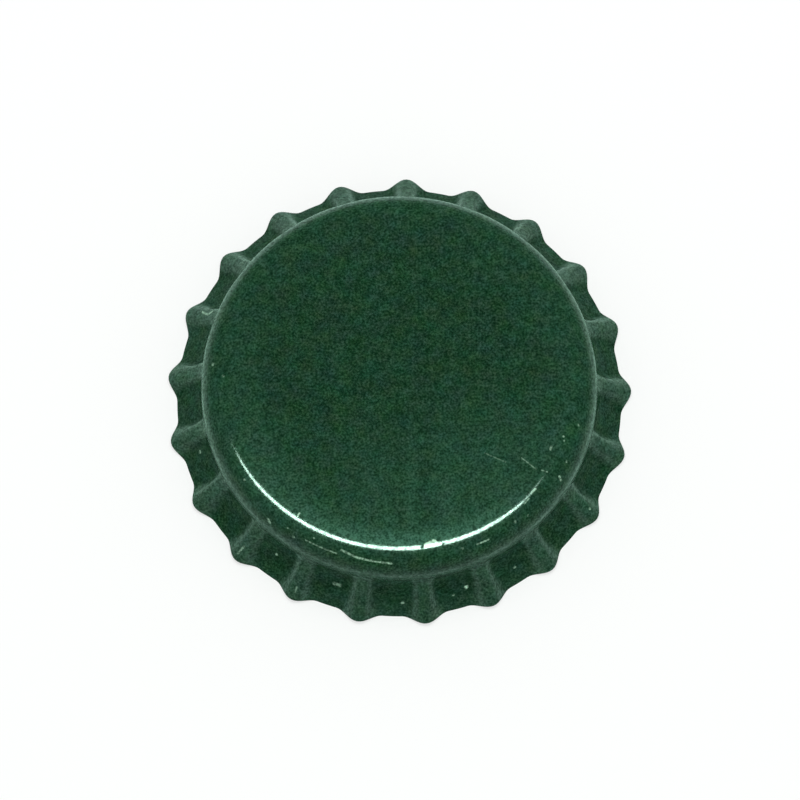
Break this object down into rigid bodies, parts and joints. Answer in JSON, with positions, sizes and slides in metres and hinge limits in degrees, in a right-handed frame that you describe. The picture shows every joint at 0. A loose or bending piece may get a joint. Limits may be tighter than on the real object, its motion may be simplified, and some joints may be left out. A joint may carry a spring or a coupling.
{
  "type": "crown bottle cap",
  "caption": "Round pressed-steel crown cap with a plain green panel, a rolled corner and a fluted, flared skirt, lined with a moulded sealing disc; it closes a bottle's mouth.",
  "frame": {"origin": "on the cap's axis, at the level of the hem that it stands on", "axes": "+Z along the cap's axis, from the open mouth up through the panel; one tooth lies on +X"},
  "size_m": [0.0319, 0.032, 0.0058],
  "materials": {
    "lacquered_tinplate": "gloss",
    "liner_polymer": "satin"
  },
  "bodies": {
    "root": {"shell": "lacquered_tinplate", "liner": "liner_polymer"}
  },
  "joints": []
}
